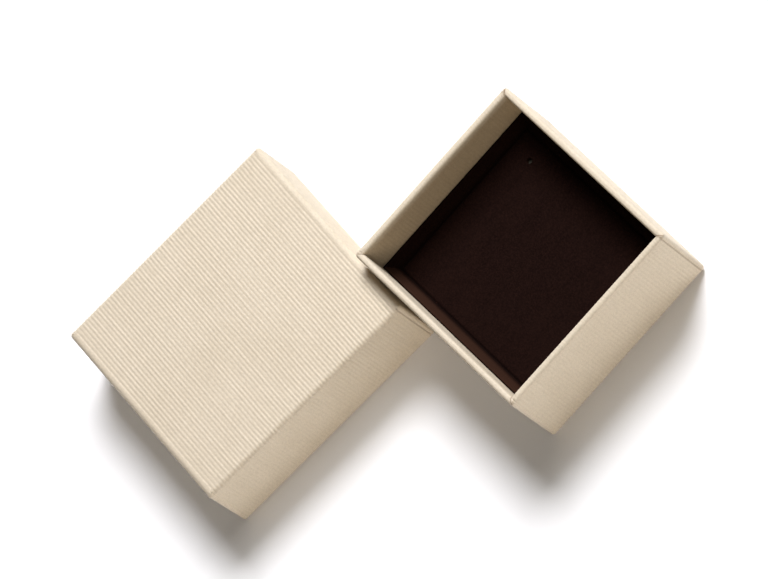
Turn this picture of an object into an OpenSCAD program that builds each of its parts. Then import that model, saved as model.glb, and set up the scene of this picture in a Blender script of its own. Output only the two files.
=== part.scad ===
// Jewelry gift box: a rigid paper-covered base with a lift-out velour insert, and its
// deeper-fitting lid standing beside it, turned a quarter turn from the way it closes.
// Origin: centre of the base's underside. +X along the base's long side, +Z up. Millimetres.

/* [Base] */
// Outside length of the base, along X
base_len = 73.5; // [60:0.5:90]
// Outside width of the base, along Y
base_wid = 67; // [55:0.5:85]
// Outside height of the base
base_high = 33; // [28:0.5:45]

/* [Lid] */
// Outside height of the lid
lid_high = 26; // [20:0.5:30]
// Gap between the lid's inner wall and the base's outer wall, each side
lid_gap = 1.45; // [0.5:0.05:2]
// Turn of the standing lid away from square with the base, degrees
lid_skew = -3.8; // [-6:0.1:-1]
// Clearance between the standing lid and the base's nearest corner
lid_clear = 0.5; // [0.3:0.1:5]
// How far the lid's near corner reaches along the base's front wall
lid_reach = 19.8; // [5:0.1:40]

/* [Board and paper] */
// Thickness of the greyboard panels
board = 1.6; // [1.2:0.1:2]
// Thickness of the ribbed covering paper with its glue
paper = 0.3; // [0.2:0.05:0.4]
// Thickness of the corner tape, pressed into the board
tape = 0.15; // [0.1:0.05:0.2]
// Length of each leg of a corner tape
tape_leg = 12; // [8:1:16]
// Depth of the covering paper turned in over the base's rim
base_turn_in = 20; // [16:0.5:24]
// Depth of the covering paper turned in over the lid's rim
lid_turn_in = 16; // [10:0.5:18]
// Outside radius of the covered corners
corner_r = 1.2; // [0.8:0.1:2]

/* [Insert] */
// Height of the insert's velour floor above the table
insert_floor_z = 15.8; // [12:0.1:18]
// Rise of the insert's flared edge
flange_rise = 3.5; // [2:0.1:4]
// Run of the insert's flared edge
flange_run = 3; // [2:0.1:4]
// Gap between the insert and the base's inner wall, each side
insert_gap = 0.3; // [0.2:0.05:0.6]
// Thickness of the insert's card
card = 0.8; // [0.5:0.1:1]
// Thickness of the velour on the card
velour = 0.4; // [0.3:0.1:0.6]
// Diameter of the punched hole in the insert
punch_d = 1.8; // [1.5:0.1:3]
// Distance of the punched hole from the insert's left edge
punch_from_left = 11; // [7:0.5:20]
// Distance of the punched hole from the insert's back edge
punch_from_back = 9.5; // [6:0.5:20]

/* [Hidden] */
$fn = 48;
wall = board + 2 * paper;
lid_len = base_len + 2 * (wall + lid_gap);
lid_wid = base_wid + 2 * (wall + lid_gap);
// The standing lid: its long side lies along Y, less the skew, and its near wall just clears
// the base's front left corner.
lid_turn = 90 + lid_skew;
lid_near_y = -base_wid / 2 - lid_clear - lid_reach * tan(-lid_skew);
lid_near_x = -base_len / 2 + lid_reach;
lid_x = lid_near_x - lid_wid / 2 * cos(lid_skew) + lid_len / 2 * sin(lid_skew);
lid_y = lid_near_y - lid_wid / 2 * sin(lid_skew) - lid_len / 2 * cos(lid_skew);
// The insert fills the base's inside, less its gap.
insert_len = base_len - 2 * (wall + insert_gap);
insert_wid = base_wid - 2 * (wall + insert_gap);
foam_bottom = paper + board + insert_gap;
card_top = insert_floor_z - velour;
card_bottom = card_top - card;
cut = 0.5;
flare = flange_rise / flange_run;
ivory = [0.90, 0.85, 0.75];
grey = [0.58, 0.55, 0.50];
kraft = [0.72, 0.60, 0.44];
brown = [0.16, 0.09, 0.07];
foam = [0.80, 0.78, 0.72];

// A rectangle centred on the origin with round corners; r of 0 leaves them square.
module round_rect(l, w, r) {
    if (r > 0) {
        square([l - 2 * r, w], center = true);
        square([l, w - 2 * r], center = true);
        for (sx = [-1, 1], sy = [-1, 1])
            translate([sx * (l / 2 - r), sy * (w / 2 - r)])
                circle(r);
    } else {
        square([l, w], center = true);
    }
}

// The tray's outline drawn in by d from its outside, extruded from z0 to z1.
module prism(l, w, d, z0, z1) {
    translate([0, 0, z0])
        linear_extrude(z1 - z0)
            round_rect(l - 2 * d, w - 2 * d, max(corner_r - d, 0));
}

// The band between two such outlines.
module ring(l, w, d0, d1, z0, z1) {
    difference() {
        prism(l, w, d0, z0, z1);
        prism(l, w, d1, z0 - cut, z1 + cut);
    }
}

// One corner tape of a tray: sx and sy pick the corner.
module corner_tape(l, w, high, sx, sy) {
    color(kraft)
        intersection() {
            ring(l, w, paper, paper + tape, 2 * paper + board, high - 2 * paper - board);
            translate([sx * (l - tape_leg) / 2, sy * (w - tape_leg) / 2, high / 2])
                cube([tape_leg, tape_leg, high], center = true);
        }
}

// The four tapes' own space, which is pressed into the boards.
module tape_space(l, w, high) {
    for (sx = [-1, 1], sy = [-1, 1])
        corner_tape(l, w, high, sx, sy);
}

// A wall board along X, at the tray's front (s = -1) or back (s = 1).
module long_wall(l, w, high, s) {
    color(grey)
        difference() {
            intersection() {
                prism(l, w, paper, paper, high - paper);
                translate([0, s * (w / 2 - paper - board / 2), high / 2])
                    cube([l, board, high], center = true);
            }
            tape_space(l, w, high);
        }
}

// A wall board along Y, butted between the two long walls, at the left (s = -1) or right.
module short_wall(l, w, high, s) {
    color(grey)
        difference() {
            translate([s * (l / 2 - paper - board / 2), 0, high / 2])
                cube([board, w - 2 * (paper + board), high - 2 * paper], center = true);
            tape_space(l, w, high);
        }
}

// The flat panel that closes a tray, held between the four walls.
module panel_board(l, w, z0) {
    color(grey)
        translate([0, 0, z0 + board / 2])
            cube([l - 2 * (paper + board), w - 2 * (paper + board), board], center = true);
}

// The covering paper on the walls of a tray whose mouth is up: outside, over the rim, and
// down the inside to the turn-in's depth.
module wall_wrap(l, w, z_low, high, turn_in) {
    ring(l, w, 0, paper, z_low, high);
    ring(l, w, 0, wall, high - paper, high);
    ring(l, w, wall - paper, wall, high - turn_in, high);
}

// A square frustum, l0 by w0 at z0 and grown by run on every side at z1.
module flared(l0, w0, run, z0, z1) {
    l1 = l0 + 2 * run;
    w1 = w0 + 2 * run;
    polyhedron(
        points = [
            [-l0 / 2, -w0 / 2, z0], [l0 / 2, -w0 / 2, z0], [l0 / 2, w0 / 2, z0], [-l0 / 2, w0 / 2, z0],
            [-l1 / 2, -w1 / 2, z1], [l1 / 2, -w1 / 2, z1], [l1 / 2, w1 / 2, z1], [-l1 / 2, w1 / 2, z1]
        ],
        faces = [
            [0, 1, 2, 3], [7, 6, 5, 4], [0, 4, 5, 1], [1, 5, 6, 2], [2, 6, 7, 3], [3, 7, 4, 0]
        ]
    );
}

// The solid between two flared surfaces d0 and d1 below the velour's face. The space over
// the face reaches past the rim, so that the edge is cut level.
module flared_layer(d0, d1) {
    rim_z = insert_floor_z + flange_rise;
    floor_l = insert_len - 2 * flange_run;
    floor_w = insert_wid - 2 * flange_run;
    slope = sqrt(1 + 1 / (flare * flare)) - 1 / flare;
    intersection() {
        difference() {
            flared(floor_l + 2 * d1 * slope, floor_w + 2 * d1 * slope,
                (rim_z + 1 - insert_floor_z + d1) / flare, insert_floor_z - d1, rim_z + 1);
            flared(floor_l + 2 * d0 * slope, floor_w + 2 * d0 * slope,
                (rim_z + 2 - insert_floor_z + d0) / flare, insert_floor_z - d0, rim_z + 2);
        }
        translate([0, 0, rim_z / 2])
            cube([insert_len, insert_wid, rim_z], center = true);
    }
}

// The punched hole, from under the card to over the velour.
module punched_hole() {
    translate([
        punch_from_left - insert_len / 2,
        insert_wid / 2 - punch_from_back,
        card_bottom - cut
    ])
        cylinder(d = punch_d, h = card + velour + 2 * cut);
}

// Puts a part of the lid, drawn mouth up, where the lid stands with its mouth down.
module lid_place() {
    translate([lid_x, lid_y, lid_high])
        rotate([0, 0, lid_turn])
            rotate([180, 0, 0])
                children();
}

module base_bottom_paper() {
    color(ivory) prism(base_len, base_wid, 0, 0, paper);
}

module base_floor_board() {
    panel_board(base_len, base_wid, paper);
}

module base_wall_front() {
    long_wall(base_len, base_wid, base_high, -1);
}

module base_wall_back() {
    long_wall(base_len, base_wid, base_high, 1);
}

module base_wall_left() {
    short_wall(base_len, base_wid, base_high, -1);
}

module base_wall_right() {
    short_wall(base_len, base_wid, base_high, 1);
}

module base_tape(sx, sy) {
    corner_tape(base_len, base_wid, base_high, sx, sy);
}

module base_wrap_paper() {
    color(ivory) wall_wrap(base_len, base_wid, paper, base_high, base_turn_in);
}

module insert_foam_block() {
    color(foam)
        translate([0, 0, (foam_bottom + card_bottom) / 2])
            cube([
                insert_len - 2 * flange_run,
                insert_wid - 2 * flange_run,
                card_bottom - foam_bottom
            ], center = true);
}

module insert_card() {
    color(brown)
        difference() {
            flared_layer(velour, velour + card);
            punched_hole();
        }
}

module insert_velour() {
    color(brown)
        difference() {
            flared_layer(0, velour);
            punched_hole();
        }
}

module lid_top_board() {
    lid_place() panel_board(lid_len, lid_wid, paper);
}

module lid_wall_front() {
    lid_place() long_wall(lid_len, lid_wid, lid_high, -1);
}

module lid_wall_back() {
    lid_place() long_wall(lid_len, lid_wid, lid_high, 1);
}

module lid_wall_left() {
    lid_place() short_wall(lid_len, lid_wid, lid_high, -1);
}

module lid_wall_right() {
    lid_place() short_wall(lid_len, lid_wid, lid_high, 1);
}

module lid_tape(sx, sy) {
    lid_place() corner_tape(lid_len, lid_wid, lid_high, sx, sy);
}

module lid_wrap_paper() {
    color(ivory)
        lid_place() {
            prism(lid_len, lid_wid, 0, 0, paper);
            wall_wrap(lid_len, lid_wid, 0, lid_high, lid_turn_in);
        }
}

module lid_lining_paper() {
    color(ivory)
        lid_place()
            translate([0, 0, paper + board + paper / 2])
                cube([lid_len - 2 * wall, lid_wid - 2 * wall, paper], center = true);
}

base_bottom_paper();
base_floor_board();
base_wall_front();
base_wall_back();
base_wall_left();
base_wall_right();
base_tape(-1, -1);  // base_tape_front_left
base_tape(1, -1);  // base_tape_front_right
base_tape(-1, 1);  // base_tape_back_left
base_tape(1, 1);  // base_tape_back_right
base_wrap_paper();
insert_foam_block();
insert_card();
insert_velour();
lid_top_board();
lid_wall_front();
lid_wall_back();
lid_wall_left();
lid_wall_right();
lid_tape(-1, -1);  // lid_tape_front_left
lid_tape(1, -1);  // lid_tape_front_right
lid_tape(-1, 1);  // lid_tape_back_left
lid_tape(1, 1);  // lid_tape_back_right
lid_wrap_paper();
lid_lining_paper();
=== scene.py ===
"""Looks of the jewelry gift box: ribbed ivory paper over greyboard, a velour insert, and the lid
standing beside the base. Everything is built in the row frame, in metres."""
import math

import bmesh
import bpy
import numpy as np
from mathutils import Matrix, Vector


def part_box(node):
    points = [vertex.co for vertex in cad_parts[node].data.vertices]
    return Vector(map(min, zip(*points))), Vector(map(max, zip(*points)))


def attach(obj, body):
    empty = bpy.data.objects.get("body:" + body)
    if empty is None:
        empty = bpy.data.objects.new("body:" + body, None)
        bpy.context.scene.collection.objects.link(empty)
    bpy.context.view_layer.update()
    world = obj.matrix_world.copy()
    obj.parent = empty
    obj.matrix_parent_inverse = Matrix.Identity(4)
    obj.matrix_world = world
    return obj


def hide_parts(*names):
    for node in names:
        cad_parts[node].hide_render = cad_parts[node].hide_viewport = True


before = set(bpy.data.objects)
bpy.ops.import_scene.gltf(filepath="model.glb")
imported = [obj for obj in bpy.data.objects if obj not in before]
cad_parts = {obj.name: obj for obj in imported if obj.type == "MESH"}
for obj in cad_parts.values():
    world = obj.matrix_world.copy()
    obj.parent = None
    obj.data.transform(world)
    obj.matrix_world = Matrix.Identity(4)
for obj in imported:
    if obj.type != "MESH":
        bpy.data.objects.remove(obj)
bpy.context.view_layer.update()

MM = 0.001

# ---------------------------------------------------------------- sizes in mm, repeated from the CAD
BOARD, PAPER = 1.6, 0.3
WALL = BOARD + 2 * PAPER
CORNER_R = 1.2          # vertical corners, outside
EDGE_R = 1.6            # edges round the flat panel
RIM_R = 1.0             # both edges of the rim
BOARD_IN = 0.45         # the boards' outer face, under the paper and the tape
PITCH = 1.2             # of the embossed ribs
BASE_TURN_IN, LID_TURN_IN = 20.0, 16.0      # how far the paper goes down inside
LID_SKEW = math.radians(-3.8)


def node_size(name):
    """A CAD node's size in mm, and its middle in metres."""
    low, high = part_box(name)
    return (high - low) / MM, (low + high) / 2


BASE_SIZE = node_size("base_wrap_paper")[0]
BASE_L, BASE_W = BASE_SIZE.x, BASE_SIZE.y
BASE_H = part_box("base_wrap_paper")[1].z / MM
LID_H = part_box("lid_wrap_paper")[1].z / MM
LID_X, LID_Y = 74.3, 80.8   # along the lid's own X and Y, before LID_SKEW turns it
LID_AT = node_size("lid_wrap_paper")[1]

FLOOR_Z, FLANGE_RUN = 15.8, 3.0     # of the insert's velour
HOLE_X, HOLE_Y = -23.25, 21.5       # the punched hole

BASE_PLACE = Matrix.Identity(4)
LID_PLACE = (
    Matrix.Translation((LID_AT.x, LID_AT.y, LID_H * MM))
    @ Matrix.Rotation(LID_SKEW, 4, "Z")
    @ Matrix.Rotation(math.pi, 4, "X")
)

# ---------------------------------------------------------------- sizes in mm of the visual model only
RIB_DEEP = 0.105            # height of an even rib over its groove
GROOVE = 1.15               # a groove's depth under the CAD's face, in rib heights
FLAT_AT_EDGE = 0.75         # share of a rib's height that is pressed away at a panel's edge
FLAT_AT_RIM = 0.6           # and over the rim
SHEET, CLOTH = 0.16, 0.12   # thickness of the modelled paper and of the velour
ACROSS_RIBS = PITCH / 6     # spacing of the points across the ribs
ALONG_PANEL = 2.4           # along them on the panel
UP_WALL = 2.2               # and along them on a wall
ROUND_STEPS = 7             # points in each rounded edge of the paper
CORNER_STEPS = 6            # and in each vertical corner
END_STEPS = (0, 0.35, 0.75, 1.2, 1.8, 2.6, 3.6)         # closer points near a panel's ends
FLAP = (1.3, 0.95, 0.72, 0.55, 0.4, 0.25, 0.12)         # points of the flap under the next wall
WELD = 2e-4                 # points that round to the same multiple of this are joined
PANEL_SINK, SINK_WIDE = 0.10, 9         # a panel's edge lies this much lower, over this width
PANEL_SLACK = 0.035                     # and its paper lies this much lower in places
PLEAT_DEEP, PLEAT_REACH = 0.055, 1.7    # the tucks round a corner of the rim
MITRE_WIDE, FOLD_WIDE = 0.24, 0.15      # widths of the painted shade in the folds there
CUT_SINK, CUT_MARK = 0.09, 0.42         # the straight walls' cut edges: how low, and how dark their glue stain and painted shade
FLAP_SINK, FLAP_SINK_MORE = 0.15, 0.04  # how low the flaps lie, and how much more on the seam side
FLAP_MARK, FLAP_MARK_MORE = 0.14, 0.12  # how dark the flaps' glue stain and painted shade is, and how much more on the seam side


# ---------------------------------------------------------------- smooth repeatable noise
WAVE_COUNT, LOTS = 10, 512
RNG = np.random.default_rng(41)
WAVES = [
    (RNG.uniform(0, 2 * math.pi), RNG.uniform(0, 2 * math.pi), RNG.uniform(0.7, 1.3))
    for _ in range(WAVE_COUNT)
]
RIB_LOT = RNG.uniform(-1, 1, LOTS)      # how high each rib is
RIB_SHIFT = RNG.uniform(-1, 1, LOTS)    # and where along it its uneven spots are


def wander(u, v, length, first=0):
    """Smooth noise from -1 to 1 with features about length across."""
    total = 0
    for i in range(4):
        turn, phase, stretch = WAVES[(first + i) % len(WAVES)]
        k = 2 * math.pi / (length * stretch)
        total = total + np.sin(k * (u * math.cos(turn) + v * math.sin(turn)) + phase)
    return total / 3


def step(t):
    """A smooth rise from 0 to 1 while t goes from 0 to 1."""
    t = np.clip(t, 0, 1)
    return t * t * (3 - 2 * t)


def rib_height(v, w):
    """Height of the embossing in mm, at v across the ribs and w along them. 0 is the CAD's face: a
    groove lies GROOVE rib heights under it, and an even rib's crest one rib height over the groove."""
    v = v + 0.06 * wander(w, 0.25 * v, 17, 0) + 0.05 * wander(w, 0.5 * v, 5.5, 3)
    lot = np.floor(v / PITCH + 0.5).astype(int) % LOTS
    wave = 0.5 + 0.5 * np.cos(2 * math.pi * (v / PITCH))
    uneven = 1 - wave * (0.30 * RIB_LOT[lot] + 0.45 * wander(w + 9 * RIB_SHIFT[lot], v * 0.05, 8, 5))
    return RIB_DEEP * (wave ** 0.85 * np.clip(uneven, 0.35, 1.35) - GROOVE)


def pressed(height, from_edge):
    """Ribs are flatter within a millimetre of a panel's edge."""
    return height * (1 - FLAT_AT_EDGE * (1 - step(from_edge / 1.0)))


def pressed_at_rim(height, z, high):
    """They are flatter over the rim too, from 2 mm under its top."""
    return height * (1 - FLAT_AT_RIM * step((z - high + 2.0) / 0.9))


# ---------------------------------------------------------------- meshes from grids
def shade_smooth(mesh):
    """Smooth shading on every face."""
    for polygon in mesh.polygons:
        polygon.use_smooth = True


class Net:
    """Grids of points joined into one mesh, in mm. Two numbers are kept at each point: the height
    of the embossing, and a value from 0 to 1 of glue stain and painted shade at a cut edge or a
    tucked flap, or of painted shade in a crease."""

    def __init__(self):
        self.points, self.faces, self.heights, self.marks, self.count = [], [], [], [], 0

    def grid(self, points, heights, marks=0.0, flip=False):
        rows, cols = points.shape[:2]
        at = self.count + np.arange(rows * cols).reshape(rows, cols)
        quads = np.stack([at[:-1, :-1], at[1:, :-1], at[1:, 1:], at[:-1, 1:]], -1).reshape(-1, 4)
        if flip:
            quads = quads[:, ::-1]
        self.points.append(points.reshape(-1, 3))
        self.heights.append(np.broadcast_to(heights, (rows, cols)).reshape(-1))
        self.marks.append(np.broadcast_to(marks, (rows, cols)).reshape(-1))
        self.faces.append(quads)
        self.count += rows * cols

    def mesh(self, name):
        points = np.concatenate(self.points)
        heights, marks = np.concatenate(self.heights), np.concatenate(self.marks)
        faces = np.concatenate(self.faces)
        _, first, same = np.unique(
            np.round(points / WELD).astype(np.int64), axis=0, return_index=True, return_inverse=True
        )
        points, heights, marks = points[first], heights[first], marks[first]
        faces = same.reshape(-1)[faces]
        kept = []
        for face in faces.tolist():
            loop = [p for i, p in enumerate(face) if p != face[i - 1]]
            if len(set(loop)) == len(loop) and len(loop) > 2:
                kept.append(loop)
        mesh = bpy.data.meshes.new(name)
        mesh.from_pydata((points * MM).tolist(), [], kept)
        mesh.validate()
        for label, values in (("emboss", heights), ("stain_and_shade", marks)):
            at = mesh.attributes.new(label, "FLOAT", "POINT")
            at.data.foreach_set("value", values.astype(np.float32))
        shade_smooth(mesh)
        # a free edge is a cut edge, so the shading breaks there
        beside = np.empty(len(mesh.loops), dtype=np.int32)
        mesh.loops.foreach_get("edge_index", beside)
        sharp = mesh.attributes.new("sharp_edge", "BOOLEAN", "EDGE")
        sharp.data.foreach_set("value", np.bincount(beside, minlength=len(mesh.edges)) == 1)
        mesh.update()
        return mesh


def place(mesh, name, matrix, body, nodes, material):
    """Puts a finished mesh in the scene, on its body, in place of its CAD nodes."""
    mesh.transform(matrix)
    ob = bpy.data.objects.new(name, mesh)
    bpy.context.scene.collection.objects.link(ob)
    mesh.materials.append(material)
    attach(ob, body)
    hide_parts(*nodes)
    return ob


def thicken(ob, thickness, label="paper"):
    """Gives a sheet its thickness, inwards from the face that shows."""
    mod = ob.modifiers.new(label, "SOLIDIFY")
    mod.thickness = thickness * MM
    mod.offset = -1
    mod.use_rim = True


def profile(high, turn_in, size):
    """The paper's path from the panel, up the wall, over the rim and down inside, with points size
    apart on the straight parts: arrays of inset d, height z, the outward normal's parts (out, up)
    and the length s along the path."""
    rows = []

    def line(d0, z0, d1, z1, out, up, size):
        n = max(1, int(round(math.hypot(d1 - d0, z1 - z0) / size)))
        for i in range(n):
            t = i / n
            rows.append((d0 + (d1 - d0) * t, z0 + (z1 - z0) * t, out, up))

    def arc(cd, cz, r, start):
        for i in range(ROUND_STEPS):
            a = math.radians(start + 90 * i / ROUND_STEPS)
            rows.append((cd - r * math.cos(a), cz + r * math.sin(a), math.cos(a), math.sin(a)))

    arc(EDGE_R, EDGE_R, EDGE_R, -90)
    line(0, EDGE_R, 0, high - RIM_R, 1, 0, size)
    arc(RIM_R, high - RIM_R, RIM_R, 0)
    line(RIM_R, high, WALL - RIM_R, high, 0, 1, 0.2)
    arc(WALL - RIM_R, high - RIM_R, RIM_R, 90)
    line(WALL, high - RIM_R, WALL, high - turn_in, -1, 0, size)
    rows.append((WALL, high - turn_in, -1, 0))
    rows = np.array(rows)
    s = np.concatenate([[0], np.cumsum(np.hypot(*np.diff(rows[:, :2], axis=0).T))])
    return rows[:, 0], rows[:, 1], rows[:, 2], rows[:, 3], s


def spaced(half, size, dense=()):
    """Samples from -half to half, size apart, with the dense distances from each end as well."""
    inner = half - (max(dense) if dense else 0)
    n = max(2, int(round(2 * inner / size)))
    middle = np.linspace(-inner, inner, n + 1)
    ends = np.array([half - d for d in dense if d < max(dense)]) if dense else np.array([])
    return np.unique(np.round(np.concatenate([middle, ends, -ends]), 6))


def sunk_edges(points, length, width):
    """The panel's edges lie a little lower than its middle, as on a hand-covered box."""
    x, y, z = points[..., 0], points[..., 1], points[..., 2]
    edge = np.minimum(length / 2 - np.abs(x), width / 2 - np.abs(y))
    drop = PANEL_SINK * (1 - step(edge / SINK_WIDE)) * (1 - step(z / 2.2))
    slack = PANEL_SLACK * wander(x, y, 33, 2) * step(edge / 6) * (1 - step(z / 1.0))
    points[..., 2] = z + drop + np.maximum(slack, 0)
    return points


def pleats(points, length, width, high):
    """Depth of the fine tucks that run out from each corner of the rim, as a negative height."""
    x, y, z = points[..., 0], points[..., 1], points[..., 2]
    cx, cy = length / 2 - WALL * 0.8, width / 2 - WALL * 0.8
    dx, dy = np.abs(x) - cx, np.abs(y) - cy
    r = np.hypot(dx, dy)
    angle = np.arctan2(dy, dx)
    sign = np.sign(x) * 1.7 + np.sign(y) * 0.6
    crease = np.sin(angle * 6 + sign) + 0.6 * np.sin(angle * 11 + 2 * sign)
    near = np.exp(-((r / PLEAT_REACH) ** 2)) * step((z - high + 1.6) / 1.0)
    return -PLEAT_DEEP * (0.8 + crease) * near


def fold_shade(points, length, width, high):
    """Painted shade where the paper folds on itself at a rim corner: one mitre and two folds."""
    x, y, z = points[..., 0], points[..., 1], points[..., 2]
    across, along = length / 2 - np.abs(x), width / 2 - np.abs(y)
    by_rim = step((z - high + 1.3) / 0.7)
    near = np.exp(-(((across - 1.1) ** 2 + (along - 1.1) ** 2) / 3.2))
    kind = np.sign(x) + 2 * np.sign(y)
    bend = 0.22 * np.sin(2.1 * along + kind)
    mitre = np.exp(-(((across - along - bend) / MITRE_WIDE) ** 2))
    fold = np.exp(-(((across - 0.62 * along + 0.45 - bend) / FOLD_WIDE) ** 2))
    return np.clip((1.0 * mitre + 0.6 * fold) * near * by_rim, 0, 0.85)


def spread(arrays, count):
    """Each array of the paper's path, repeated over count columns."""
    return (np.repeat(a[:, None], count, 1) for a in arrays)


def straight_walls(net, length, width, high, turn_in, seam, ys):
    """The two walls across X, on to which the ribs run straight from the panel. Their paper lies on
    top at the corners, so its cut edges show there, with a glue stain and painted shade along them."""
    half_x, half_y = length / 2 - EDGE_R, width / 2 - EDGE_R
    d, z, out, up, s = profile(high, turn_in, UP_WALL)
    cut_back = 0.15 * step(s / 1.0) + 0.45 * step(d / WALL) * step((z - high + 3) / 2.4)
    cut_back = np.where(out < -0.5, WALL - EDGE_R, cut_back)
    limit = (half_y - cut_back)[:, None]
    y = np.clip(ys[None, :], -limit, limit)
    near_cut = (1 - step((limit - np.abs(y)) / 0.25)) * step(s / 1.5)[:, None]
    shows = 0.55 + 0.45 * seam * np.sign(y)
    dd, zz, oo, uu, ss = spread((d, z, out, up, s), y.shape[1])
    for side in (-1, 1):
        height = pressed(rib_height(y, side * (half_x + ss)), half_y - np.abs(y))
        height = pressed_at_rim(height, zz, high)
        x = side * (length / 2 - dd)
        raw = np.stack([x, y, zz], -1)
        lift = height + pleats(raw, length, width, high)
        lift = lift - CUT_SINK * near_cut * (1.3 - shows)
        points = np.stack([x + side * oo * lift, y, zz + uu * lift], -1)
        # glue stain and painted shade along the cut edges, with painted shade in the rim corners' folds
        marks = np.maximum(CUT_MARK * near_cut * shows, fold_shade(raw, length, width, high))
        net.grid(sunk_edges(points, length, width), height, marks, flip=side > 0)


def wrapped_columns(length, width, d, xs):
    """The columns of a wall across Y, from the flap round one corner to the flap round the other:
    x, y, the normal's x and y, and how far on under the next wall's paper the column lies."""
    half_x = length / 2 - EDGE_R
    zero = 0 * d
    hold = np.maximum(CORNER_R, d)
    radius = np.maximum(CORNER_R - d, 0)     # the corner of a turn-in is square
    columns = []
    for q in FLAP:
        columns.append((-(length / 2 - d), width / 2 - hold - q, zero - 1, zero, zero + q))
    for i in range(CORNER_STEPS):
        a = math.pi / 2 * i / CORNER_STEPS
        x = -(length / 2 - hold) - radius * math.cos(a)
        y = width / 2 - hold + radius * math.sin(a)
        columns.append((x, y, zero - math.cos(a), zero + math.sin(a), zero))
    corner = columns[::-1]
    for x in xs:
        columns.append((x / half_x * (length / 2 - hold), width / 2 - d, zero, zero + 1, zero))
    columns += [(-x, y, -nx, ny, q) for x, y, nx, ny, q in corner]
    return (np.stack([column[i] for column in columns], 1) for i in range(5))


def wrapped_wall(side, length, width, high, turn_in, seam, xs):
    """One wall across Y, whose paper goes round both corners and under the straight walls'."""
    half_y = width / 2 - EDGE_R
    d, z, out, up, s = profile(high, turn_in, ACROSS_RIBS)
    x, y, nx, ny, q = wrapped_columns(length, width, d, xs)
    zz, oo, uu, ss = spread((z, out, up, s), x.shape[1])
    height = pressed(rib_height(side * (half_y + ss), x), ss - 2.2)
    height = pressed_at_rim(height, zz, high)
    sink = (FLAP_SINK + FLAP_SINK_MORE * seam * side) * step((q - 0.15) / 0.35) * step(ss / 1.2)
    raw = np.stack([x, side * y, zz], -1)
    lift = height - sink + pleats(raw, length, width, high)
    points = np.stack([x + nx * oo * lift, side * (y + ny * oo * lift), zz + uu * lift], -1)
    # glue stain and painted shade on the flap where it goes under the straight wall's paper
    tucked = (FLAP_MARK + FLAP_MARK_MORE * seam * side) * step((q - 0.12) / 0.3) * step(ss / 1.2)
    marks = np.maximum(tucked, fold_shade(raw, length, width, high))
    net = Net()
    net.grid(sunk_edges(points, length, width), height, marks, flip=side < 0)
    return net


def tray(label, length, width, high, turn_in, seam, matrix, nodes):
    """The paper of one tray whose mouth is up: one sheet with the panel and the two walls across X,
    and one for each wall across Y. The overlap at the corners shows more on the seam side of Y, 1
    or -1."""
    half_x, half_y = length / 2 - EDGE_R, width / 2 - EDGE_R
    ys = spaced(half_y, ACROSS_RIBS)
    xs = spaced(half_x, ALONG_PANEL, END_STEPS)
    main = Net()
    gx, gy = np.meshgrid(xs, ys, indexing="ij")
    height = pressed(rib_height(gy, gx), half_y - np.abs(gy))
    main.grid(sunk_edges(np.stack([gx, gy, -height], -1), length, width), height, flip=True)
    straight_walls(main, length, width, high, turn_in, seam, ys)
    nets = {
        "sheet": main,
        "near": wrapped_wall(-1, length, width, high, turn_in, seam, xs),
        "far": wrapped_wall(1, length, width, high, turn_in, seam, xs),
    }
    for part, net in nets.items():
        name = f"{label}_wrap_{part}"
        ob = place(net.mesh(name), name, matrix, label, nodes, PAPER_MAT)
        thicken(ob, SHEET)


# ---------------------------------------------------------------- materials
def new_material(name):
    """A node material with only a Principled shader: the material, its tree, the shader."""
    material = bpy.data.materials.new(name)
    material.use_nodes = True
    tree = material.node_tree
    tree.nodes.clear()
    out = tree.nodes.new("ShaderNodeOutputMaterial")
    shader = tree.nodes.new("ShaderNodeBsdfPrincipled")
    tree.links.new(shader.outputs["BSDF"], out.inputs["Surface"])
    return material, tree, shader


def add(tree, kind, **values):
    """A new node, with inputs or properties set by name."""
    node = tree.nodes.new(kind)
    for key, value in values.items():
        if key in node.inputs:
            node.inputs[key].default_value = value
        else:
            setattr(node, key, value)
    return node


def coords(tree, scale=(1, 1, 1), turn=0.0):
    """Object coordinates, scaled and turned about Z."""
    tex = tree.nodes.new("ShaderNodeTexCoord")
    mapping = tree.nodes.new("ShaderNodeMapping")
    mapping.inputs["Scale"].default_value = scale
    mapping.inputs["Rotation"].default_value = (0, 0, turn)
    tree.links.new(tex.outputs["Object"], mapping.inputs["Vector"])
    return mapping.outputs["Vector"]


def noise(tree, vector, scale, detail=4.0, rough=0.55):
    """Noise from 0 to 1, scale features per metre."""
    node = add(tree, "ShaderNodeTexNoise", Scale=scale, Detail=detail, Roughness=rough)
    tree.links.new(vector, node.inputs["Vector"])
    return node.outputs["Fac"]


def ramp(tree, value, stops):
    """A colour that follows value through the stops."""
    node = tree.nodes.new("ShaderNodeValToRGB")
    band = node.color_ramp
    while len(band.elements) < len(stops):
        band.elements.new(0.5)
    for element, (at, colour) in zip(band.elements, stops):
        element.position = at
        element.color = colour if len(colour) == 4 else (*colour, 1)
    tree.links.new(value, node.inputs["Fac"])
    return node.outputs["Color"]


def remap(tree, value, low, high, to_low, to_high):
    """Value moved from low..high to to_low..to_high."""
    node = add(tree, "ShaderNodeMapRange")
    for key, number in zip(("From Min", "From Max", "To Min", "To Max"), (low, high, to_low, to_high)):
        node.inputs[key].default_value = number
    tree.links.new(value, node.inputs["Value"])
    return node.outputs["Result"]


def mix(tree, factor, a, b, blend="MIX"):
    """Colour a blended with b; each input is a socket or a value."""
    node = tree.nodes.new("ShaderNodeMix")
    node.data_type = "RGBA"
    node.blend_type = blend
    for socket, value in (("Factor", factor), ("A", a), ("B", b)):
        index = {"Factor": 0, "A": 6, "B": 7}[socket]
        if isinstance(value, bpy.types.NodeSocket):
            tree.links.new(value, node.inputs[index])
        elif isinstance(value, tuple):
            node.inputs[index].default_value = (*value, 1) if len(value) == 3 else value
        else:
            node.inputs[index].default_value = value
    return node.outputs[2]


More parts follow.
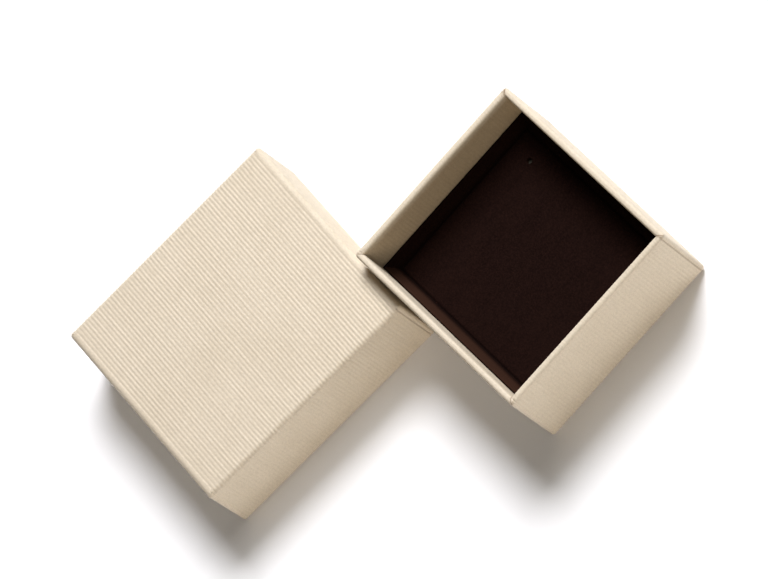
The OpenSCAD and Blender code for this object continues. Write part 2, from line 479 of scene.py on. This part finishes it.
def bump(tree, height, strength, distance, normal=None):
    """A bumped normal; distance is in metres."""
    node = add(tree, "ShaderNodeBump", Strength=strength, Distance=distance)
    tree.links.new(height, node.inputs["Height"])
    if normal is not None:
        tree.links.new(normal, node.inputs["Normal"])
    return node.outputs["Normal"]


def ribbed_paper():
    """Ivory paper: mottled and fibrous. Painted shade darkens the grooves and the folds, and a glue
    stain with painted shade darkens the cut edges.
    """
    material, tree, shader = new_material("ribbed_ivory_paper")
    plain = coords(tree)
    mottled = noise(tree, plain, 55, 3)
    fibre = noise(tree, coords(tree, (0.5, 1, 1)), 2000, 2, 0.6)
    pulp = noise(tree, plain, 1150, 4, 0.6)
    colour = ramp(tree, mottled, [(0.3, (0.655, 0.565, 0.430)), (0.7, (0.690, 0.600, 0.465))])
    speck = remap(tree, fibre, 0.36, 0.60, 0.89, 1.0)
    colour = mix(tree, 1.0, colour, mix(tree, speck, (0, 0, 0), (1, 1, 1)), "MULTIPLY")
    # painted shade in the grooves, from the rib height and broken up by the pulp
    emboss = add(tree, "ShaderNodeAttribute", attribute_name="emboss")
    groove = remap(tree, emboss.outputs["Fac"], -GROOVE * RIB_DEEP, -0.35 * RIB_DEEP, 1.0, 0.0)
    broken = remap(tree, pulp, 0.38, 0.62, 0.05, 0.34)
    shaded = add(tree, "ShaderNodeMath", operation="MULTIPLY")
    tree.links.new(groove, shaded.inputs[0])
    tree.links.new(broken, shaded.inputs[1])
    colour = mix(tree, shaded.outputs[0], colour, (0.51, 0.43, 0.32))
    # glue stain and painted shade at cut edges and flaps, and painted shade in folds
    stain_and_shade = add(tree, "ShaderNodeAttribute", attribute_name="stain_and_shade")
    colour = mix(tree, stain_and_shade.outputs["Fac"], colour, (0.20, 0.115, 0.055))
    tree.links.new(colour, shader.inputs["Base Color"])
    tree.links.new(remap(tree, pulp, 0.3, 0.7, 0.50, 0.66), shader.inputs["Roughness"])
    normal = bump(tree, pulp, 0.5, 0.00006)
    tree.links.new(bump(tree, fibre, 0.5, 0.00003, normal), shader.inputs["Normal"])
    shader.inputs["Specular IOR Level"].default_value = 0.35
    shader.inputs["Sheen Weight"].default_value = 0.06
    return material


def smooth_paper():
    """The lid's lining, plain ivory paper."""
    material, tree, shader = new_material("smooth_ivory_paper")
    plain = coords(tree)
    cloud = noise(tree, plain, 90, 4)
    fibre = noise(tree, plain, 2200, 5, 0.7)
    colour = ramp(tree, cloud, [(0.3, (0.77, 0.71, 0.59)), (0.7, (0.82, 0.76, 0.65))])
    tree.links.new(colour, shader.inputs["Base Color"])
    tree.links.new(remap(tree, fibre, 0.3, 0.7, 0.72, 0.86), shader.inputs["Roughness"])
    tree.links.new(bump(tree, fibre, 0.6, 0.00004), shader.inputs["Normal"])
    return material


def greyboard():
    """Recycled board with dark and light flecks."""
    material, tree, shader = new_material("greyboard")
    plain = coords(tree)
    cloud = noise(tree, plain, 140, 5)
    flecks = noise(tree, plain, 1500, 3, 0.8)
    colour = ramp(tree, cloud, [(0.3, (0.26, 0.235, 0.195)), (0.72, (0.36, 0.33, 0.28))])
    dark = remap(tree, flecks, 0.62, 0.72, 0, 0.55)
    colour = mix(tree, dark, colour, (0.10, 0.09, 0.085))
    light = remap(tree, noise(tree, plain, 1100, 2, 0.7), 0.64, 0.74, 0, 0.5)
    colour = mix(tree, light, colour, (0.62, 0.58, 0.50))
    tree.links.new(colour, shader.inputs["Base Color"])
    tree.links.new(remap(tree, flecks, 0.3, 0.7, 0.82, 0.95), shader.inputs["Roughness"])
    tree.links.new(bump(tree, flecks, 0.7, 0.00008), shader.inputs["Normal"])
    return material


def kraft():
    """Brown paper tape, its fibres running upwards."""
    material, tree, shader = new_material("kraft_tape")
    lengthwise = coords(tree, (1, 1, 0.2))
    fibre = noise(tree, lengthwise, 1800, 5, 0.7)
    cloud = noise(tree, lengthwise, 200, 3)
    colour = ramp(tree, cloud, [(0.3, (0.36, 0.22, 0.11)), (0.7, (0.46, 0.30, 0.16))])
    tree.links.new(colour, shader.inputs["Base Color"])
    tree.links.new(remap(tree, fibre, 0.3, 0.7, 0.62, 0.80), shader.inputs["Roughness"])
    tree.links.new(bump(tree, fibre, 0.5, 0.00004), shader.inputs["Normal"])
    return material


def foam_stuff():
    """Off-white foam with fine open cells, and painted shade in their pits."""
    material, tree, shader = new_material("foam")
    plain = coords(tree)
    cells = add(tree, "ShaderNodeTexVoronoi", Scale=1500.0)
    tree.links.new(plain, cells.inputs["Vector"])
    cloud = noise(tree, plain, 160, 3)
    colour = ramp(tree, cloud, [(0.3, (0.62, 0.58, 0.48)), (0.7, (0.70, 0.66, 0.57))])
    # painted shade in the pits of the cells
    pit_shade = remap(tree, cells.outputs["Distance"], 0.0, 0.5, 0.45, 0.0)
    colour = mix(tree, pit_shade, colour, (0.40, 0.36, 0.28))
    tree.links.new(colour, shader.inputs["Base Color"])
    tree.links.new(remap(tree, cloud, 0.3, 0.7, 0.85, 0.95), shader.inputs["Roughness"])
    tree.links.new(bump(tree, cells.outputs["Distance"], 0.8, 0.0002), shader.inputs["Normal"])
    return material


def brown_card():
    """The dyed card under the velour."""
    material, tree, shader = new_material("brown_card")
    plain = coords(tree)
    fibre = noise(tree, plain, 1600, 5, 0.7)
    cloud = noise(tree, plain, 120, 3)
    colour = ramp(tree, cloud, [(0.3, (0.055, 0.032, 0.024)), (0.7, (0.080, 0.048, 0.036))])
    tree.links.new(colour, shader.inputs["Base Color"])
    tree.links.new(remap(tree, fibre, 0.3, 0.7, 0.70, 0.88), shader.inputs["Roughness"])
    tree.links.new(bump(tree, fibre, 0.6, 0.00006), shader.inputs["Normal"])
    return material


def velour_cloth():
    """Dark-brown flock: a short pile, brushed patches and a little lint; painted light on the front
    flare, and painted shade in the crease and at the bottom of the hole.
    """
    material, tree, shader = new_material("brown_velour")
    plain = coords(tree)
    pile = noise(tree, plain, 3200, 4, 0.75)
    brushed = noise(tree, coords(tree, (1, 0.35, 1), 0.6), 130, 4, 0.6)
    colour = ramp(tree, brushed, [(0.32, (0.0058, 0.0021, 0.0016)), (0.68, (0.0082, 0.0031, 0.0023))])
    grain = remap(tree, noise(tree, plain, 2300, 3, 0.7), 0.40, 0.64, 0, 0.75)
    colour = mix(tree, grain, colour, (0.0165, 0.0069, 0.0050))
    lint = remap(tree, pile, 0.66, 0.80, 0, 0.5)
    colour = mix(tree, lint, colour, (0.030, 0.0145, 0.011))
    # up to 0.5 the attribute is painted light on the front flare, and from 0.85 the bottom of the
    # hole, the foam seen through it in painted shade
    emboss = add(tree, "ShaderNodeAttribute", attribute_name="emboss").outputs["Fac"]
    colour = mix(tree, remap(tree, emboss, 0.0, 0.5, 0, 1), colour, (0.030, 0.0135, 0.0085))
    colour = mix(tree, remap(tree, emboss, 0.85, 1.0, 0, 1), colour, (0.045, 0.041, 0.032))
    # painted shade along the velour's crease
    crease = add(tree, "ShaderNodeAttribute", attribute_name="stain_and_shade")
    colour = mix(tree, crease.outputs["Fac"], colour, (0.0012, 0.0006, 0.0005))
    tree.links.new(colour, shader.inputs["Base Color"])
    tree.links.new(remap(tree, pile, 0.3, 0.7, 0.80, 0.96), shader.inputs["Roughness"])
    normal = bump(tree, brushed, 0.25, 0.0003)
    tree.links.new(bump(tree, pile, 0.9, 0.00012, normal), shader.inputs["Normal"])
    shader.inputs["Specular IOR Level"].default_value = 0.03
    shader.inputs["Sheen Weight"].default_value = 0.012
    shader.inputs["Sheen Roughness"].default_value = 0.45
    shader.inputs["Sheen Tint"].default_value = (0.45, 0.25, 0.18, 1)
    return material


PAPER_MAT, LINING_MAT = ribbed_paper(), smooth_paper()
GREY_MAT, KRAFT_MAT, FOAM_MAT = greyboard(), kraft(), foam_stuff()
CARD_MAT, VELOUR_MAT = brown_card(), velour_cloth()

# the first of these words that a CAD node's name has decides its material
MATERIALS = (
    ("tape", KRAFT_MAT),
    ("board", GREY_MAT),
    ("_wall_", GREY_MAT),
    ("lining", LINING_MAT),
    ("foam", FOAM_MAT),
    ("card", CARD_MAT),
    ("velour", VELOUR_MAT),
    ("", PAPER_MAT),
)
for name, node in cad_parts.items():
    node.data.materials.clear()
    node.data.materials.append(next(material for word, material in MATERIALS if word in name))

# ---------------------------------------------------------------- the base and the lid
tray(
    "base", BASE_L, BASE_W, BASE_H, BASE_TURN_IN, 1, BASE_PLACE,
    ["base_wrap_paper", "base_bottom_paper"],
)
tray("lid", LID_X, LID_Y, LID_H, LID_TURN_IN, -1, LID_PLACE, ["lid_wrap_paper"])

BOARD_ROUND = RIM_R - 0.35      # of the boards' edges at the rim
BOARD_GAP = 0.1                 # between a board's edge and the paper
BOARD_STEPS, BOARD_SPANS = 6, 25
SHARP_FROM = math.radians(40)


def board(node, length, width, high, matrix, body, between):
    """One wall's greyboard with its long edges rounded over, as pressed by the wrapping. The walls
    that face along the axis between, 0 or 1, stand between the other two."""
    low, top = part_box(node)
    middle = matrix.inverted() @ ((low + top) / 2)
    axis = 0 if abs(middle.x) * width > abs(middle.y) * length else 1
    side = 1 if middle[axis] > 0 else -1
    half, reach = (length / 2, width / 2) if axis == 0 else (width / 2, length / 2)
    ends = reach - (PAPER + BOARD if axis == between else BOARD_IN + 0.25)
    inner, low_z, top_z = PAPER + BOARD, PAPER + BOARD_GAP, high - PAPER - BOARD_GAP
    loop = [(inner, low_z)]
    for cd, cz, r, start in (
        (BOARD_IN, low_z, EDGE_R - BOARD_IN, -90),
        (BOARD_IN, top_z, BOARD_ROUND, 0),
        (inner, top_z, BOARD_ROUND, 90),
    ):
        inward = 1 if cd == BOARD_IN else -1
        rise = r if cz == low_z else -r
        for i in range(BOARD_STEPS):
            a = math.radians(start + 90 / (BOARD_STEPS - 1) * i)
            loop.append((cd + inward * r - r * math.cos(a), cz + rise + r * math.sin(a)))
    bm = bmesh.new()
    rings = []
    for t in np.linspace(-ends, ends, BOARD_SPANS):
        ring = []
        for d, z in loop:
            rough = 0.02 * math.sin(t * 1.9 + z * 0.7) + 0.015 * math.sin(t * 4.3 - d)
            out = side * (half - d - rough * (d > 1))
            at = (out, t, z) if axis == 0 else (t, out, z)
            ring.append(bm.verts.new(Vector(at) * MM))
        rings.append(ring)
    for a, b in zip(rings, rings[1:]):
        for i in range(len(loop)):
            j = (i + 1) % len(loop)
            bm.faces.new((a[i], a[j], b[j], b[i]))
    bm.faces.new(rings[0])
    bm.faces.new(rings[-1][::-1])
    bmesh.ops.recalc_face_normals(bm, faces=bm.faces)
    mesh = bpy.data.meshes.new(node + "_board")
    bm.to_mesh(mesh)
    bm.free()
    shade_smooth(mesh)
    mesh.set_sharp_from_angle(angle=SHARP_FROM)
    place(mesh, node + "_board", matrix, body, [node], GREY_MAT)


for side in ("front", "back", "left", "right"):
    board(f"base_wall_{side}", BASE_L, BASE_W, BASE_H, BASE_PLACE, "base", 1)
    board(f"lid_wall_{side}", LID_X, LID_Y, LID_H, LID_PLACE, "lid", 0)


# ---------------------------------------------------------------- the insert
HOLE_R, HOLE_SOFT, HOLE_DEEP = 0.72, 0.26, 1.25
CREASE_WIDE, CREASE_DEEP = 0.42, 0.34
EDGE_BAND, HOLE_BAND = 9, 1.5       # where the velour's points are closer together
TURNED_DOWN = ((0.12, 0.09), (0.4, 0.15), (0.9, 0.16), (1.5, 0.14), (1.75, 0.05))     # down, out


def velour_lines(half, hole):
    """The places of the velour's points along one axis: close at the edges and round the hole."""
    fine_to = FLANGE_RUN + 1.2
    ends = np.concatenate([np.arange(0, fine_to, 0.2), np.arange(fine_to, EDGE_BAND, 0.45)])
    inner = half - EDGE_BAND
    found = np.concatenate([half - ends, ends - half, np.linspace(-inner, inner, int(inner * 2 / 0.6))])
    found = found[np.abs(found - hole) > HOLE_BAND + 0.05]
    near = hole + np.linspace(-HOLE_BAND, HOLE_BAND, 27)
    return np.unique(np.round(np.concatenate([found, near]), 5))


def insert_cover():
    """The velour: a level floor, a pinched crease, and a softly swollen edge that flares up to the
    walls and turns down over the card. It has a punched hole by one corner."""
    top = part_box("insert_velour")[1] / MM
    half_x, half_y, rise = top.x, top.y, top.z - FLOOR_Z
    xs, ys = velour_lines(half_x, HOLE_X), velour_lines(half_y, HOLE_Y)
    x, y = np.meshgrid(xs, ys, indexing="ij")
    e = np.minimum(half_x - np.abs(x), half_y - np.abs(y))      # distance from the nearest edge
    t = np.clip(e / FLANGE_RUN, 0, 1)
    z = FLOOR_Z + rise * (1 - t) + 0.30 * np.sin(math.pi * t)
    crease = np.exp(-(((e - FLANGE_RUN) / CREASE_WIDE) ** 2))
    z = z - CREASE_DEEP * crease + 0.06 * step((e - FLANGE_RUN) / 2.5)
    z = z - 0.28 * (1 - step(e / 0.55))
    z = z + 0.07 * wander(x, y, 19, 1) * step((e - FLANGE_RUN) / 3) + 0.03 * wander(x, y, 6, 4)
    r = np.hypot(x - HOLE_X, (y - HOLE_Y))
    cut = 1 - step((r - HOLE_R) / HOLE_SOFT)
    z = z - HOLE_DEEP * cut + 0.10 * np.exp(-(((r - 1.1) / 0.3) ** 2))
    # painted light on the front flare, the side that faces the light
    by_front = step((half_x - np.abs(x) - (y + half_y)) / 0.6 + 0.5)
    flare_light = 0.5 * by_front * (1 - step((t - 0.6) / 0.4)) * (1 - cut)
    net = Net()
    # the hole and the front flare's painted light go in as heights, the crease's painted shade as the
    # second value
    net.grid(np.stack([x, y, z], -1), np.maximum(cut, flare_light), 0.6 * crease)
    # the cloth turned down over the card's edge
    last_x, last_y = len(xs) - 1, len(ys) - 1
    ring = [(i, 0) for i in range(last_x + 1)] + [(last_x, j) for j in range(1, last_y + 1)]
    ring += [(i, last_y) for i in range(last_x - 1, -1, -1)]
    ring += [(0, j) for j in range(last_y - 1, -1, -1)]
    rim = np.array([(x[i, j], y[i, j], z[i, j]) for i, j in ring])
    rows = [rim]
    for down, out in TURNED_DOWN:
        row = rim.copy()
        row[:, 0] *= (half_x + out) / half_x
        row[:, 1] *= (half_y + out) / half_y
        row[:, 2] -= down
        rows.append(row)
    net.grid(np.stack(rows), 0.0, flip=True)
    name = "insert_velour_cover"
    mesh = net.mesh(name)
    ob = place(mesh, name, BASE_PLACE, "insert", ["insert_velour"], VELOUR_MAT)
    thicken(ob, CLOTH, "cloth")


FOAM_ROUND, FOAM_CELL = 0.9, 1.8        # rounding of the block's edges, and its longest mesh edge


def insert_foam():
    """The block of foam under the card: cut edges slightly rounded, faces a little uneven."""
    low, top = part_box("insert_foam_block")
    bm = bmesh.new()
    bmesh.ops.create_cube(bm, size=1)
    for v in bm.verts:
        v.co = Vector([(low[i] + top[i]) / 2 + v.co[i] * (top[i] - low[i]) for i in range(3)])
    edges = list(bm.edges)
    bmesh.ops.bevel(bm, geom=edges, offset=FOAM_ROUND * MM, segments=4, profile=0.5, affect="EDGES")
    bmesh.ops.triangulate(bm, faces=bm.faces)
    for _ in range(5):
        long_edges = [e for e in bm.edges if e.calc_length() > FOAM_CELL * MM]
        if long_edges:
            bmesh.ops.subdivide_edges(bm, edges=long_edges, cuts=1)
            bmesh.ops.triangulate(bm, faces=bm.faces)
    bm.normal_update()
    for v in bm.verts:
        x, y, z = (v.co[i] / MM for i in range(3))
        dent = 0.10 * (1 + wander(x + z, y - z, 12, 6)) + 0.04 * (1 + wander(x - y, z + y, 4, 2))
        v.co -= v.normal * dent * MM
    name = "insert_foam_pad"
    mesh = bpy.data.meshes.new(name)
    bm.to_mesh(mesh)
    bm.free()
    shade_smooth(mesh)
    ob = place(mesh, name, BASE_PLACE, "insert", ["insert_foam_block"], FOAM_MAT)


insert_cover()
insert_foam()

# ---------------------------------------------------------------- camera
AZIMUTH, ELEVATION, ROLL = math.radians(97.3), math.radians(59.85), math.radians(-54.52)
CAMERA_TARGET, CAMERA_DISTANCE = Vector((-0.0401, -0.0371, 0)), 2.3943
back = Vector((
    math.sin(AZIMUTH) * math.cos(ELEVATION),
    -math.cos(AZIMUTH) * math.cos(ELEVATION),
    math.sin(ELEVATION),
))
level = Vector((math.cos(AZIMUTH), math.sin(AZIMUTH), 0))
upright = back.cross(level)
right = math.cos(ROLL) * level + math.sin(ROLL) * upright
up = back.cross(right)
camera_data = bpy.data.cameras.new("camera")
camera_data.sensor_width = 36
camera_data.lens = 375
camera_data.clip_start, camera_data.clip_end = 0.05, 20
camera = bpy.data.objects.new("camera", camera_data)
bpy.context.scene.collection.objects.link(camera)
turn = Matrix((right, up, back)).transposed()
camera.matrix_world = Matrix.Translation(CAMERA_TARGET + back * CAMERA_DISTANCE) @ turn.to_4x4()
bpy.context.scene.camera = camera

# ---------------------------------------------------------------- floor
FLOOR_REACH, FLOOR_UNDER = 3, 0.00005       # it lies just under the boxes
corners = [(x * FLOOR_REACH, y * FLOOR_REACH, 0) for x, y in ((-1, -1), (1, -1), (1, 1), (-1, 1))]
floor_mesh = bpy.data.meshes.new("floor")
floor_mesh.from_pydata(corners, [], [(0, 1, 2, 3)])
floor = bpy.data.objects.new("floor", floor_mesh)
bpy.context.scene.collection.objects.link(floor)
floor.location.z = -FLOOR_UNDER
floor_mat, _, shader = new_material("floor")
shader.inputs["Base Color"].default_value = (0.93, 0.93, 0.935, 1)
shader.inputs["Roughness"].default_value = 0.9
shader.inputs["Specular IOR Level"].default_value = 0.1
shader.inputs["Emission Color"].default_value = (0.97, 0.98, 1.0, 1)
shader.inputs["Emission Strength"].default_value = 0.08
floor_mesh.materials.append(floor_mat)

# ---------------------------------------------------------------- light
SUNS = (    # name, direction towards it, strength, width in degrees, colour
    ("key", (-0.42, 0.48, 0.77), 3.65, 27, (1, 1, 1.04)),
    ("fill", (0.998, -0.06, 0.012), 0.90, 4, (0.96, 0.98, 1.03)),
    ("side", (0.05, 0.998, 0.02), 0.14, 6, (0.45, 0.72, 1.0)),
    ("low", (0.96, -0.12, 0.24), 0.50, 14, (1, 0.78, 0.54)),
)
GLOW_AT, GLOW_AIM = Vector((-0.06, 0.13, 0.30)), Vector((-0.05, -0.04, 0))
AMBIENT, AMBIENT_STRENGTH = (1, 0.88, 0.72, 1), 0.09


def add_light(data, toward):
    """A light that shines from the direction toward."""
    ob = bpy.data.objects.new(data.name, data)
    bpy.context.scene.collection.objects.link(ob)
    ob.rotation_mode = "QUATERNION"
    ob.rotation_quaternion = toward.to_track_quat("Z", "Y")
    return ob


for name, toward, strength, angle, colour in SUNS:
    data = bpy.data.lights.new(name, "SUN")
    data.energy = strength
    data.angle = math.radians(angle)
    data.color = colour
    add_light(data, Vector(toward))
glow = bpy.data.lights.new("glow", "AREA")
glow.shape, glow.size, glow.energy = "DISK", 0.16, 0.30
add_light(glow, GLOW_AT - GLOW_AIM).location = GLOW_AT
world = bpy.data.worlds.new("world")
bpy.context.scene.world = world
world.use_nodes = True
ambient = world.node_tree.nodes["Background"].inputs
ambient["Color"].default_value = AMBIENT
ambient["Strength"].default_value = AMBIENT_STRENGTH
bpy.context.scene.view_settings.view_transform = "Standard"
bpy.context.scene.view_settings.look = "None"

bpy.context.view_layer.update()
